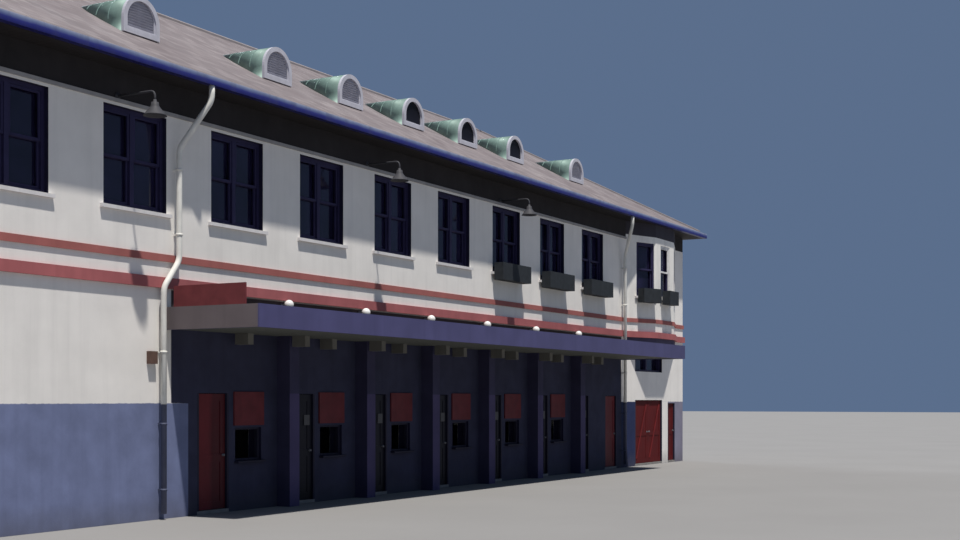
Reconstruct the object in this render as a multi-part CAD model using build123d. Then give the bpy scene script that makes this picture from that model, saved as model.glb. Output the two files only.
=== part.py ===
"""Two-storey stadium front building: ticket bays under a long canopy, offices over.

Millimetres, +Z up.  The street front faces -Y and X runs along it, left to right.
The origin is on the ground at the middle of the building's outline.
"""
import os
from math import atan2, degrees, hypot, sin, tan

from build123d import *

# Depth of the building, walls and floors
DEPTH = 10000
WALL = 300
FLOOR_THICKNESS = 60
UPPER_FLOOR_TOP = 4150
UPPER_FLOOR_THICKNESS = 200

# Roof and eaves
EAVE = 500
GUTTER_WIDTH = 120
GUTTER_HEIGHT = 150
SOFFIT_LEVEL = 7340
SOFFIT_THICKNESS = 40
ROOF_THICKNESS = 140
ROOF_RISE = 2990

# Canopy over the ticket bays
CANOPY_REACH = 2030
CANOPY_MARGIN = 250
FASCIA_BOTTOM = 3180
FASCIA_TOP = 3560
FASCIA_THICKNESS = 60
DECK_RISE = 20
DECK_THICKNESS = 120
POST_WIDTH = 300
POST_DEPTH = 300
BRACKET_WIDTH = 150
BRACKET_HEIGHT = 200
BRACKET_DEPTH = 300

# Bays along the front
BAY_PITCH = 2600
POST_COUNT = 6
DOOR_OFFSET = 200
DOOR_WIDTH = 850
DOOR_HEAD = 2120
TICKET_OFFSET = 1600
TICKET_WIDTH = 750
TICKET_SILL = 900
TICKET_HEAD = 1500
BOARD_WIDTH = 850
BOARD_BOTTOM = 1540
BOARD_TOP = 2150
BOARD_THICKNESS = 30
LEFT_DOOR_GAP = 175
RIGHT_DOOR_GAP = 1100
GATE_GAP = 1170
GATE_WIDTH = 2230
GATE_HEAD = 2000
TRANSOM_SILL = 2870
TRANSOM_HEAD = 3360
SIDE_DOOR_GAP = 500
SIDE_DOOR_WIDTH = 620
SIDE_DOOR_HEAD = 1900
END_PIER = 730

# Door leaves and their lift-off hinges
LEAF_THICKNESS = 45
LEAF_RECESS = 40
LEAF_CLEARANCE = 10
LEAF_LIFT = 10
JAMB_WIDTH = 50
KNUCKLE_RADIUS = 9
KNUCKLE_HEIGHT = 60
KNUCKLE_GAP = 0.3
PIN_STANDOFF = 15
STRAP_LENGTH = 45
STRAP_START = 3
HINGE_LOW = 300
HINGE_DROP = 300
PANEL_MARGIN = 130
PANEL_RECESS = 10
PANEL_RAIL = 140
PANEL_LOWER_TOP = 900

# Windows
WINDOW_WIDTH = 1460
WINDOW_SILL = 5130
WINDOW_HEAD = 6750
FRONT_WINDOWS = 9
WINDOW_LEAD_BAYS = 2.5
GROUND_WINDOW_SILL = 1000
GROUND_WINDOW_HEAD = 2400
REAR_WINDOWS = 11
END_WINDOWS = 3
END_WINDOW_PITCH = 3000
FRAME_RECESS = 90
FRAME_DEPTH = 90
FRAME_FACE = 60
MULLION = 90
PANE_THICKNESS = 10
PANE_LAP = 20
SILL_HEIGHT = 60
SILL_PROJECTION = 60
SILL_OVERHANG = 80
BOX_WIDTH = 1500
BOX_DEPTH = 250
BOX_HEIGHT = 420
BOX_WALL = 25
BOX_DROP = 200
BOXED_WINDOWS = 3
BOXED_BAY_WINDOWS = 2

# Belt courses
UPPER_BAND_BOTTOM = 4330
UPPER_BAND_TOP = 4450
UPPER_BAND_PROJECTION = 30
LOWER_BAND_BOTTOM = 3880
LOWER_BAND_TOP = 4060
LOWER_BAND_PROJECTION = 60

# Canted bay on the upper storey at the right
BAY_GAP = 450
BAY_SIDE_RUN = 1300
BAY_FRONT_RUN = 1500
BAY_PROJECTION = 450
BAY_WALL = 150
BAY_CAP_BOTTOM = 6950
BAY_OPENING_MARGIN = 500
BAY_SIDE_WINDOW = 800
BAY_SIDE_WINDOW_START = 480
BAY_FRONT_WINDOW = 760
BAY_FRAME_RECESS = 20

# Roof dormers
DORMER_SETBACK = 1140
DORMER_WIDTH = 900
DORMER_WALL_HEIGHT = 250
DORMER_RIM = 90
DORMER_RIM_THICKNESS = 60
DORMER_RECESS = 150
DORMER_END_GAP = 3900
DORMER_ROW = 5
RIDGE_CAP_WIDTH = 260
RIDGE_CAP_RISE = 50
HIP_CAP_TRIM = 100

# Bare sign board standing across the left end of the canopy, and the box on the wall beside it
SIGN_LENGTH = 1520
SIGN_INSET = 280
SIGN_HEIGHT = 350
SIGN_THICKNESS = 30
METER_WIDTH = 170
METER_HEIGHT = 210
METER_DEPTH = 90
METER_LEVEL = 2600
METER_GAP = 60

# Moulding under the dark frieze
FRIEZE_BOTTOM = 6800
FRIEZE_HEIGHT = 60
FRIEZE_PROJECTION = 30

# Downspouts, lamps and floodlights
PIPE_RADIUS = 50
PIPE_STANDOFF = 120
PIPE_FOOT = 100
PIPE_CLEARANCE = 70
PIPE_JOG = 380
PIPE_LEFT_SLANT = 320
PIPE_RIGHT_SLANT = 500
PIPE_OUTLET = 250
PIPE_FALL = 830
PIPE_JOG_START = 30
LAMP_RADIUS = 90
LAMP_LEVEL = 3800
LAMP_REACH = 170
LAMP_ARM_RADIUS = 15
FLOOD_PLACES = (-10820, -3610, 2270)
FLOOD_LEVEL = 6900
FLOOD_REACH = 800
FLOOD_DROP = 180
FLOOD_HEIGHT = 220
FLOOD_RADIUS = 190
FLOOD_NECK = 60
FLOOD_ARM_RADIUS = 20

# Facets round the arches and round small stock
ARCH_SIDES = 20
ROUND_SIDES = 12

# Derived places
first_post = -BAY_PITCH * (POST_COUNT - 1) / 2
posts = [first_post + i * BAY_PITCH for i in range(POST_COUNT)]
tickets = [post - BAY_PITCH + TICKET_OFFSET for post in posts]
left_door_x = tickets[0] - TICKET_WIDTH / 2 - LEFT_DOOR_GAP - DOOR_WIDTH
right_door_x = posts[-1] + DOOR_OFFSET + DOOR_WIDTH + RIGHT_DOOR_GAP
CANOPY_HALF = right_door_x + DOOR_WIDTH + CANOPY_MARGIN
GATE_X = CANOPY_HALF + GATE_GAP
SIDE_DOOR_X = GATE_X + GATE_WIDTH + SIDE_DOOR_GAP
HALF_LENGTH = SIDE_DOOR_X + SIDE_DOOR_WIDTH + END_PIER
BAY_START = CANOPY_HALF + BAY_GAP
BAY_FRONT_START = BAY_START + BAY_SIDE_RUN
BAY_FRONT_END = BAY_FRONT_START + BAY_FRONT_RUN
BAY_END = BAY_FRONT_END + BAY_SIDE_RUN
FRONT = -(DEPTH + EAVE + GUTTER_WIDTH - CANOPY_REACH) / 2
BACK = FRONT + DEPTH
ROOF_EDGE_X = HALF_LENGTH + EAVE
HALF_SPAN = DEPTH / 2 + EAVE
RIDGE_Y = FRONT + DEPTH / 2
SLOPE = ROOF_RISE / HALF_SPAN
ROOF_UNDERSIDE = SOFFIT_LEVEL + SOFFIT_THICKNESS
ROOF_EDGE_TOP = ROOF_UNDERSIDE + ROOF_THICKNESS
WALL_TOP = ROOF_UNDERSIDE + EAVE * SLOPE
DECK_BOTTOM = FASCIA_BOTTOM + DECK_RISE
LEAF_OUTER_Y = FRONT + LEAF_RECESS
LEAF_INNER_Y = LEAF_OUTER_Y + LEAF_THICKNESS
PIN_Y = LEAF_INNER_Y + PIN_STANDOFF
BAY_TURN = atan2(BAY_PROJECTION, BAY_SIDE_RUN)
BAY_SIDE_LENGTH = hypot(BAY_PROJECTION, BAY_SIDE_RUN)
BAY_OPENING_START = BAY_START + BAY_OPENING_MARGIN
BAY_OPENING_END = BAY_END - BAY_OPENING_MARGIN
first_window = first_post - WINDOW_LEAD_BAYS * BAY_PITCH
front_windows = [first_window + i * BAY_PITCH for i in range(FRONT_WINDOWS)]
rear_windows = [(i - (REAR_WINDOWS - 1) / 2) * BAY_PITCH for i in range(REAR_WINDOWS)]
end_windows = [RIDGE_Y + (i - (END_WINDOWS - 1) / 2) * END_WINDOW_PITCH for i in range(END_WINDOWS)]

os.makedirs("parts", exist_ok=True)


def block(x0, x1, y0, y1, z0, z1):
    """A box between two corners."""
    return Pos((x0 + x1) / 2, (y0 + y1) / 2, (z0 + z1) / 2) * Box(x1 - x0, y1 - y0, z1 - z0)


def prism(points, z0, z1):
    """An upright prism on a plan outline."""
    outline = make_face(Polyline(*points, close=True))
    return extrude(Pos(0, 0, z0) * outline, amount=z1 - z0)


def rod(radius, height):
    """A faceted round bar standing on z = 0."""
    return extrude(RegularPolygon(radius, ROUND_SIDES), amount=height)


def save(name, solids):
    """Write one named node."""
    parts = solids if isinstance(solids, list) else [solids]
    pieces = [solid for part in parts for solid in part.solids()]
    shape = pieces[0] if len(pieces) == 1 else Compound(children=pieces)
    export_step(shape, f"parts/{name}.step")


# Plan outlines
bay_outline = [
    (BAY_START, FRONT),
    (BAY_FRONT_START, FRONT - BAY_PROJECTION),
    (BAY_FRONT_END, FRONT - BAY_PROJECTION),
    (BAY_END, FRONT),
]
footprint = (
    [(-HALF_LENGTH, FRONT)]
    + bay_outline
    + [(HALF_LENGTH, FRONT), (HALF_LENGTH, BACK), (-HALF_LENGTH, BACK)]
)


# Doorways with one leaf: name, left edge, width, head height
doorways = [("left_door", left_door_x, DOOR_WIDTH, DOOR_HEAD)]
for number, post in enumerate(posts, start=1):
    doorways.append((f"entry_door_{number}", post + DOOR_OFFSET, DOOR_WIDTH, DOOR_HEAD))
doorways.append(("right_door", right_door_x, DOOR_WIDTH, DOOR_HEAD))
doorways.append(("side_door", SIDE_DOOR_X, SIDE_DOOR_WIDTH, SIDE_DOOR_HEAD))


def wall_columns():
    """Openings of the ground storey, left to right: edges and the heights that are open."""
    columns = [(x, x + width, [(0, head)]) for _, x, width, head in doorways]
    for x in tickets:
        columns.append((x - TICKET_WIDTH / 2, x + TICKET_WIDTH / 2, [(TICKET_SILL, TICKET_HEAD)]))
    columns.append((GATE_X, GATE_X + GATE_WIDTH, [(0, GATE_HEAD), (TRANSOM_SILL, TRANSOM_HEAD)]))
    return sorted(columns)


def ground_storey():
    """Front wall of the ground storey: full-height piers, and panels over and under the openings."""
    piers = []
    panels = []
    edge = -HALF_LENGTH
    for x0, x1, holes in wall_columns():
        piers.append(block(edge, x0, FRONT, FRONT + WALL, 0, UPPER_FLOOR_TOP))
        level = 0
        for low, high in holes + [(UPPER_FLOOR_TOP, UPPER_FLOOR_TOP)]:
            if low > level:
                panels.append(block(x0, x1, FRONT, FRONT + WALL, level, low))
            level = high
        edge = x1
    piers.append(block(edge, HALF_LENGTH, FRONT, FRONT + WALL, 0, UPPER_FLOOR_TOP))
    return piers, panels


def front_hole(x, width, low, high):
    """Cutter for one opening of the front wall."""
    return block(x - width / 2, x + width / 2, FRONT - WALL, FRONT + 2 * WALL, low, high)


def upper_front_wall():
    """Upper front wall with its windows, and the pier right of the canted bay."""
    wall = block(-HALF_LENGTH, BAY_OPENING_START, FRONT, FRONT + WALL, UPPER_FLOOR_TOP, WALL_TOP)
    for x in front_windows:
        wall -= front_hole(x, WINDOW_WIDTH, WINDOW_SILL, WINDOW_HEAD)
    pier = block(BAY_OPENING_END, HALF_LENGTH, FRONT, FRONT + WALL, UPPER_FLOOR_TOP, BAY_CAP_BOTTOM)
    return [wall, pier]


def rear_wall():
    """Back wall: the front's windows repeated on both storeys."""
    wall = block(-HALF_LENGTH, HALF_LENGTH, BACK - WALL, BACK, 0, WALL_TOP)
    for x in rear_windows:
        for low, high in ((GROUND_WINDOW_SILL, GROUND_WINDOW_HEAD), (WINDOW_SILL, WINDOW_HEAD)):
            wall -= block(
                x - WINDOW_WIDTH / 2, x + WINDOW_WIDTH / 2, BACK - 2 * WALL, BACK + WALL, low, high
            )
    return wall


def end_wall(side):
    """One end wall; side is -1 on the left and 1 on the right."""
    inner = side * (HALF_LENGTH - WALL)
    outer = side * HALF_LENGTH
    wall = block(min(inner, outer), max(inner, outer), FRONT + WALL, BACK - WALL, 0, WALL_TOP)
    for y in end_windows:
        for low, high in ((GROUND_WINDOW_SILL, GROUND_WINDOW_HEAD), (WINDOW_SILL, WINDOW_HEAD)):
            wall -= block(
                min(inner, outer) - WALL,
                max(inner, outer) + WALL,
                y - WINDOW_WIDTH / 2,
                y + WINDOW_WIDTH / 2,
                low,
                high,
            )
    return wall


# Window units stand in their own frame: x along the wall, +y into it, z up from the sill
def window_frame(width, height, recess, lights=2):
    """Frame round its lights, with a mullion between two of them."""
    frame = block(-width / 2, width / 2, recess, recess + FRAME_DEPTH, 0, height)
    light = (width - 2 * FRAME_FACE - (lights - 1) * MULLION) / lights
    for number in range(lights):
        left = FRAME_FACE - width / 2 + number * (light + MULLION)
        frame -= block(
            left,
            left + light,
            recess - FRAME_DEPTH,
            recess + 2 * FRAME_DEPTH,
            FRAME_FACE,
            height - FRAME_FACE,
        )
    return frame


def window_pane(width, height, recess):
    """Sheet of glass behind the frame."""
    half = width / 2 - FRAME_FACE + PANE_LAP
    back = recess + FRAME_DEPTH
    low = FRAME_FACE - PANE_LAP
    return block(-half, half, back, back + PANE_THICKNESS, low, height - low)


def window_sill(width):
    """Projecting sill under a window."""
    half = width / 2 + SILL_OVERHANG
    return block(-half, half, -SILL_PROJECTION, 0, -SILL_HEIGHT, 0)


def window_box(width):
    """Open-topped planter box in front of a sill."""
    front = -SILL_PROJECTION - BOX_DEPTH
    box = block(-width / 2, width / 2, front, -SILL_PROJECTION, -BOX_DROP, BOX_HEIGHT - BOX_DROP)
    box -= block(
        -width / 2 + BOX_WALL,
        width / 2 - BOX_WALL,
        front + BOX_WALL,
        -SILL_PROJECTION - BOX_WALL,
        BOX_WALL - BOX_DROP,
        BOX_HEIGHT,
    )
    return box


def window_places():
    """Place, height and width of each window unit in the straight walls."""
    upper = WINDOW_HEAD - WINDOW_SILL
    ground = GROUND_WINDOW_HEAD - GROUND_WINDOW_SILL
    places = [(Pos(x, FRONT, WINDOW_SILL), upper, WINDOW_WIDTH) for x in front_windows]
    for level, height in ((WINDOW_SILL, upper), (GROUND_WINDOW_SILL, ground)):
        for x in rear_windows:
            places.append((Pos(x, BACK, level) * Rot(0, 0, 180), height, WINDOW_WIDTH))
        for y in end_windows:
            places.append((Pos(HALF_LENGTH, y, level) * Rot(0, 0, 90), height, WINDOW_WIDTH))
            places.append((Pos(-HALF_LENGTH, y, level) * Rot(0, 0, -90), height, WINDOW_WIDTH))
    return places


# Canted bay: each facet stands in its own frame, x along the facet from its left end
bay_turn_degrees = degrees(BAY_TURN)
left_facet = Pos(BAY_START, FRONT, 0) * Rot(0, 0, -bay_turn_degrees)
front_facet = Pos(BAY_FRONT_START, FRONT - BAY_PROJECTION, 0)
right_facet = Pos(BAY_FRONT_END, FRONT - BAY_PROJECTION, 0) * Rot(0, 0, bay_turn_degrees)
BAY_HEIGHT = WINDOW_HEAD - WINDOW_SILL
miter = BAY_WALL * tan(BAY_TURN / 2)
side_inner = BAY_WALL / sin(BAY_TURN)
side_window_centre = BAY_SIDE_WINDOW_START + BAY_SIDE_WINDOW / 2
front_window_centre = BAY_FRONT_RUN / 2


def bay_facet(points, place, centre, width):
    """One wall facet of the bay with its window hole."""
    facet = prism(points, UPPER_FLOOR_TOP, BAY_CAP_BOTTOM)
    hole = block(
        centre - width / 2, centre + width / 2, -WALL, 2 * WALL, WINDOW_SILL, WINDOW_HEAD
    )
    return facet - place * hole


def bay_facets():
    """The front facet and the two side facets, mitred to it."""
    inner = FRONT - BAY_PROJECTION + BAY_WALL
    front_points = [
        bay_outline[1],
        bay_outline[2],
        (BAY_FRONT_END - miter, inner),
        (BAY_FRONT_START + miter, inner),
    ]
    left_points = [
        bay_outline[0],
        bay_outline[1],
        (BAY_FRONT_START + miter, inner),
        (BAY_START + side_inner, FRONT),
    ]
    right_points = [
        bay_outline[3],
        bay_outline[2],
        (BAY_FRONT_END - miter, inner),
        (BAY_END - side_inner, FRONT),
    ]
    front = bay_facet(front_points, front_facet, front_window_centre, BAY_FRONT_WINDOW)
    left = bay_facet(left_points, left_facet, side_window_centre, BAY_SIDE_WINDOW)
    right_centre = BAY_SIDE_LENGTH - side_window_centre
    right = bay_facet(right_points, right_facet, right_centre, BAY_SIDE_WINDOW)
    return front, [left, right]


def bay_window_places():
    """Place and width of the bay's three windows."""
    rise = Pos(0, 0, WINDOW_SILL)
    right_centre = BAY_SIDE_LENGTH - side_window_centre
    return [
        (left_facet * rise * Pos(side_window_centre, 0, 0), BAY_SIDE_WINDOW),
        (front_facet * rise * Pos(front_window_centre, 0, 0), BAY_FRONT_WINDOW),
        (right_facet * rise * Pos(right_centre, 0, 0), BAY_SIDE_WINDOW),
    ]


def belt(low, high, projection):
    """A belt course round the outline: runs along the street and the back, and the returns between."""
    outline = make_face(Polyline(*footprint, close=True))
    ring = offset(outline, amount=projection, kind=Kind.INTERSECTION) - outline
    course = extrude(Pos(0, 0, low) * ring, amount=high - low)
    reach = 2 * EAVE
    far = HALF_LENGTH + reach
    runs = [
        course & block(-far, BAY_START, FRONT - reach, FRONT, low, high),
        course & block(BAY_FRONT_START, BAY_FRONT_END, FRONT - reach, FRONT, low, high),
        course & block(BAY_END, far, FRONT - reach, FRONT, low, high),
        course & block(-far, far, BACK, BACK + reach, low, high),
    ]
    returns = [
        course & block(BAY_START, BAY_FRONT_START, FRONT - reach, FRONT, low, high),
        course & block(BAY_FRONT_END, BAY_END, FRONT - reach, FRONT, low, high),
        course & block(-far, 0, FRONT, BACK, low, high),
        course & block(0, far, FRONT, BACK, low, high),
    ]
    return runs, returns


# Doors
def hinge_levels(head):
    """Heights where the fixed half of each hinge ends."""
    return (HINGE_LOW, head - HINGE_DROP)


def hinge_half(pin, toward, low, high):
    """Knuckle round the pin and its strap, running along x toward a leaf or a jamb."""
    knuckle = Pos(pin, PIN_Y, low) * rod(KNUCKLE_RADIUS, high - low)
    ends = sorted((pin + toward * STRAP_START, pin + toward * STRAP_LENGTH))
    return knuckle + block(ends[0], ends[1], LEAF_INNER_Y, PIN_Y, low, high)


def door_leaf(x, width, head, side):
    """A leaf hung at its left (side 1) or right (side -1) edge, with its hinge halves."""
    low = FLOOR_THICKNESS + LEAF_LIFT
    high = head - LEAF_CLEARANCE
    leaf = block(x, x + width, LEAF_OUTER_Y, LEAF_INNER_Y, low, high)
    for z0, z1 in (
        (low + PANEL_MARGIN, PANEL_LOWER_TOP),
        (PANEL_LOWER_TOP + PANEL_RAIL, high - PANEL_MARGIN),
    ):
        left = x + PANEL_MARGIN
        right = x + width - PANEL_MARGIN
        leaf -= block(left, right, LEAF_OUTER_Y - PANEL_RECESS, LEAF_OUTER_Y + PANEL_RECESS, z0, z1)
    for level in hinge_levels(head):
        foot = level + KNUCKLE_GAP
        leaf += hinge_half(pin_x(x, width, side), side, foot, foot + KNUCKLE_HEIGHT)
    return leaf


def pin_x(x, width, side):
    """Where the hinge pin stands, in the middle of the gap between leaf and jamb."""
    return x - LEAF_CLEARANCE / 2 if side > 0 else x + width + LEAF_CLEARANCE / 2


def fixed_hinges(x, width, head, side):
    """The halves of a leaf's hinges that are fixed to its jamb."""
    pin = pin_x(x, width, side)
    return [
        hinge_half(pin, -side, level - KNUCKLE_HEIGHT, level) for level in hinge_levels(head)
    ]


def door_frame(x, width, head):
    """The two jambs of a doorway, and its threshold."""
    jambs = [
        block(edge, edge + JAMB_WIDTH, FRONT, LEAF_INNER_Y, FLOOR_THICKNESS, head)
        for edge in (x, x + width - JAMB_WIDTH)
    ]
    return jambs, block(x, x + width, FRONT, FRONT + WALL, 0, FLOOR_THICKNESS)


leaves = {}
hinges = []
jambs = []
thresholds = []
for name, x, width, head in doorways:
    leaf_x = x + JAMB_WIDTH + LEAF_CLEARANCE
    leaf_width = width - 2 * (JAMB_WIDTH + LEAF_CLEARANCE)
    leaves[name] = door_leaf(leaf_x, leaf_width, head, 1)
    hinges += fixed_hinges(leaf_x, leaf_width, head, 1)
    pair, threshold = door_frame(x, width, head)
    jambs += pair
    thresholds.append(threshold)

gate_leaf = (GATE_WIDTH - 2 * JAMB_WIDTH - 3 * LEAF_CLEARANCE) / 2
gate_left = GATE_X + JAMB_WIDTH + LEAF_CLEARANCE
gate_right = gate_left + gate_leaf + LEAF_CLEARANCE
for name, x, side in (("gate_left_leaf", gate_left, 1), ("gate_right_leaf", gate_right, -1)):
    leaves[name] = door_leaf(x, gate_leaf, GATE_HEAD, side)
    hinges += fixed_hinges(x, gate_leaf, GATE_HEAD, side)
pair, threshold = door_frame(GATE_X, GATE_WIDTH, GATE_HEAD)
jambs += pair
thresholds.append(threshold)


# Canopy
def canopy_deck():
    """Flat deck between the fascias and the wall."""
    edge = CANOPY_HALF - FASCIA_THICKNESS
    front = FRONT - CANOPY_REACH + FASCIA_THICKNESS
    return block(-edge, edge, front, FRONT, DECK_BOTTOM, DECK_BOTTOM + DECK_THICKNESS)


def canopy_front_fascia():
    """Long fascia along the street edge."""
    front = FRONT - CANOPY_REACH
    return block(-CANOPY_HALF, CANOPY_HALF, front, front + FASCIA_THICKNESS, FASCIA_BOTTOM, FASCIA_TOP)


def canopy_end_fascias():
    """Fascia across each end."""
    front = FRONT - CANOPY_REACH + FASCIA_THICKNESS
    inner = CANOPY_HALF - FASCIA_THICKNESS
    return [
        block(-CANOPY_HALF, -inner, front, FRONT, FASCIA_BOTTOM, FASCIA_TOP),
        block(inner, CANOPY_HALF, front, FRONT, FASCIA_BOTTOM, FASCIA_TOP),
    ]


def canopy_posts():
    """Posts standing against the wall between the bays."""
    half = POST_WIDTH / 2
    return [block(x - half, x + half, FRONT - POST_DEPTH, FRONT, 0, DECK_BOTTOM) for x in posts]


def canopy_brackets():
    """Joist ends under the deck, over each post and in the middle of each bay."""
    low = DECK_BOTTOM - BRACKET_HEIGHT
    half = BRACKET_WIDTH / 2
    brackets = []
    for x in posts:
        seat = FRONT - POST_DEPTH
        brackets.append(block(x - half, x + half, seat - BRACKET_DEPTH, seat, low, DECK_BOTTOM))
    for i in range(POST_COUNT + 1):
        x = first_post + (i - 0.5) * BAY_PITCH
        brackets.append(block(x - half, x + half, FRONT - BRACKET_DEPTH, FRONT, low, DECK_BOTTOM))
    return brackets


def wall_lamp(x):
    """Globe lamp on an arm just above the canopy."""
    upright = Pos(0, 0, -LAMP_RADIUS) * rod(LAMP_RADIUS, 2 * LAMP_RADIUS)
    globe = upright & Rot(90, 0, 0) * upright & Rot(0, 90, 0) * upright
    arm = Pos(x, FRONT, LAMP_LEVEL) * Rot(90, 0, 0) * rod(LAMP_ARM_RADIUS, LAMP_REACH)
    return Pos(x, FRONT - LAMP_REACH, LAMP_LEVEL) * globe + arm


def ticket_board(x):
    """Bare board over a ticket window."""
    half = BOARD_WIDTH / 2
    return block(x - half, x + half, FRONT - BOARD_THICKNESS, FRONT, BOARD_BOTTOM, BOARD_TOP)


# Roof
def roof_slab(corners):
    """One roof slope of even thickness, cut upright along its edges."""
    face = make_face(Polyline(*corners, close=True))
    return extrude(face, amount=ROOF_THICKNESS, dir=(0, 0, -1))


def roof():
    """Hipped roof: two long slopes and two hips."""
    edge = ROOF_EDGE_TOP
    top = ROOF_EDGE_TOP + ROOF_RISE
    front_y = FRONT - EAVE
    back_y = BACK + EAVE
    ridge_x = ROOF_EDGE_X - HALF_SPAN
    ridge = [(-ridge_x, RIDGE_Y, top), (ridge_x, RIDGE_Y, top)]
    eaves = [
        (-ROOF_EDGE_X, front_y, edge),
        (ROOF_EDGE_X, front_y, edge),
        (ROOF_EDGE_X, back_y, edge),
        (-ROOF_EDGE_X, back_y, edge),
    ]
    front = roof_slab([eaves[0], eaves[1], ridge[1], ridge[0]])
    back = roof_slab([eaves[2], eaves[3], ridge[0], ridge[1]])
    right = roof_slab([eaves[1], eaves[2], ridge[1]])
    left = roof_slab([eaves[3], eaves[0], ridge[0]])
    return front, back, [left, right]


def wall_plates():
    """Wedge-shaped plates on the long walls, under the slopes."""
    wedge = [(0, WALL_TOP), (WALL, WALL_TOP), (WALL, WALL_TOP + WALL * SLOPE)]
    half = HALF_LENGTH - WALL
    front = extrude(Plane.YZ * make_face(Polyline(*wedge, close=True)), amount=half, both=True)
    return [Pos(0, FRONT, 0) * front, Pos(0, BACK, 0) * Rot(0, 0, 180) * front]


def long_strips(reach, width, low, high):
    """Strips along the front and back eaves, their outer edge at reach from the walls."""
    x = HALF_LENGTH + reach
    return [
        block(-x, x, FRONT - reach, FRONT - reach + width, low, high),
        block(-x, x, BACK + reach - width, BACK + reach, low, high),
    ]


def end_strips(reach, width, low, high):
    """Strips across the ends, between the long ones."""
    x = HALF_LENGTH + reach
    front = FRONT - reach + width
    back = BACK + reach - width
    return [block(-x, -x + width, front, back, low, high), block(x - width, x, front, back, low, high)]


def arch(width, straight, length):
    """An arched block standing on z = 0, its face at y = 0 and its length along +y."""
    radius = width / 2
    crown = Pos(0, straight) * RegularPolygon(radius, ARCH_SIDES)
    profile = Pos(0, straight / 2) * Rectangle(width, straight) + crown
    profile &= Pos(0, width) * Rectangle(width, 2 * width)
    return Pos(0, length, 0) * extrude(Plane.XZ * profile, amount=length)


def dormer(x, side):
    """Barrel-roofed dormer seated on a slope, and the rim of its face; side 1 is the front."""
    seat = ROOF_EDGE_TOP + (DORMER_SETBACK + EAVE) * SLOPE
    height = DORMER_WALL_HEIGHT + DORMER_WIDTH / 2
    length = height / SLOPE
    above_slope = make_face(Polyline((0, 0), (0, height), (length, height), close=True))
    body = arch(DORMER_WIDTH, DORMER_WALL_HEIGHT, length)
    body = body & extrude(Plane.YZ * above_slope, amount=DORMER_WIDTH, both=True)
    niche_width = DORMER_WIDTH - 2 * DORMER_RIM
    niche_straight = DORMER_WALL_HEIGHT - DORMER_RIM
    body -= Pos(0, 0, DORMER_RIM) * arch(niche_width, niche_straight, DORMER_RECESS)
    rim = arch(DORMER_WIDTH, DORMER_WALL_HEIGHT, DORMER_RIM_THICKNESS)
    rim -= Pos(0, 0, DORMER_RIM) * arch(niche_width, niche_straight, DORMER_RIM_THICKNESS)
    rim = Pos(0, -DORMER_RIM_THICKNESS, 0) * rim
    if side > 0:
        place = Pos(x, FRONT + DORMER_SETBACK, seat)
    else:
        place = Pos(x, BACK - DORMER_SETBACK, seat) * Rot(0, 0, 180)
    return place * body, place * rim


def dormer_centres():
    """A row of dormers a bay apart, and one further off at each end."""
    inner = [(i - (DORMER_ROW - 1) / 2) * BAY_PITCH for i in range(DORMER_ROW)]
    outer = inner[-1] + DORMER_END_GAP
    return [-outer] + inner + [outer]


def downspout(points):
    """Round pipe along straight runs with mitred elbows."""
    path = Polyline(*points)
    start = Plane(origin=path @ 0, z_dir=path % 0)
    return sweep(start * RegularPolygon(PIPE_RADIUS, ROUND_SIDES), path=path, transition=Transition.RIGHT)


def downspouts():
    """Pipes from the gutter to the ground beside each end of the canopy."""
    gutter_y = FRONT - EAVE - GUTTER_WIDTH / 2
    wall_y = FRONT - PIPE_STANDOFF
    low_x = CANOPY_HALF + PIPE_CLEARANCE + PIPE_RADIUS
    outlet = SOFFIT_LEVEL - PIPE_OUTLET
    elbow = outlet - PIPE_FALL
    left = [
        (PIPE_JOG + PIPE_LEFT_SLANT - low_x, gutter_y, SOFFIT_LEVEL),
        (PIPE_JOG + PIPE_LEFT_SLANT - low_x, gutter_y, outlet),
        (PIPE_JOG - low_x, wall_y, elbow),
        (PIPE_JOG - low_x, wall_y, UPPER_BAND_BOTTOM + PIPE_JOG_START),
        (-low_x, wall_y, LOWER_BAND_BOTTOM),
        (-low_x, wall_y, PIPE_FOOT),
    ]
    right = [
        (low_x - PIPE_RIGHT_SLANT, gutter_y, SOFFIT_LEVEL),
        (low_x - PIPE_RIGHT_SLANT, gutter_y, outlet),
        (low_x, wall_y, elbow),
        (low_x, wall_y, PIPE_FOOT),
    ]
    return [downspout(left), downspout(right)]


def floodlight(x):
    """Shaded floodlight hanging from the end of an arm that stands out from the wall."""
    y = FRONT - FLOOD_REACH
    shade_top = FLOOD_LEVEL - FLOOD_DROP
    arm = Pos(x, FRONT, FLOOD_LEVEL) * Rot(90, 0, 0) * rod(FLOOD_ARM_RADIUS, FLOOD_REACH)
    stem = Pos(x, y, shade_top) * rod(FLOOD_ARM_RADIUS, FLOOD_DROP + FLOOD_ARM_RADIUS)
    rim = Pos(x, y, shade_top - FLOOD_HEIGHT) * RegularPolygon(FLOOD_RADIUS, ROUND_SIDES)
    lean = degrees(atan2(FLOOD_RADIUS - FLOOD_NECK, FLOOD_HEIGHT))
    return arm + stem + extrude(rim, amount=FLOOD_HEIGHT, taper=lean)


def sign_board():
    """Bare board standing on the fascia across the canopy's left end."""
    front = FRONT - CANOPY_REACH + SIGN_INSET
    inner = SIGN_THICKNESS - CANOPY_HALF
    top = FASCIA_TOP + SIGN_HEIGHT
    return block(-CANOPY_HALF, inner, front, front + SIGN_LENGTH, FASCIA_TOP, top)


def meter_box():
    """Small box on the wall left of the left downspout."""
    right = -CANOPY_HALF - PIPE_CLEARANCE - 2 * PIPE_RADIUS - METER_GAP
    top = METER_LEVEL + METER_HEIGHT
    return block(right - METER_WIDTH, right, FRONT - METER_DEPTH, FRONT, METER_LEVEL, top)


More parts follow.
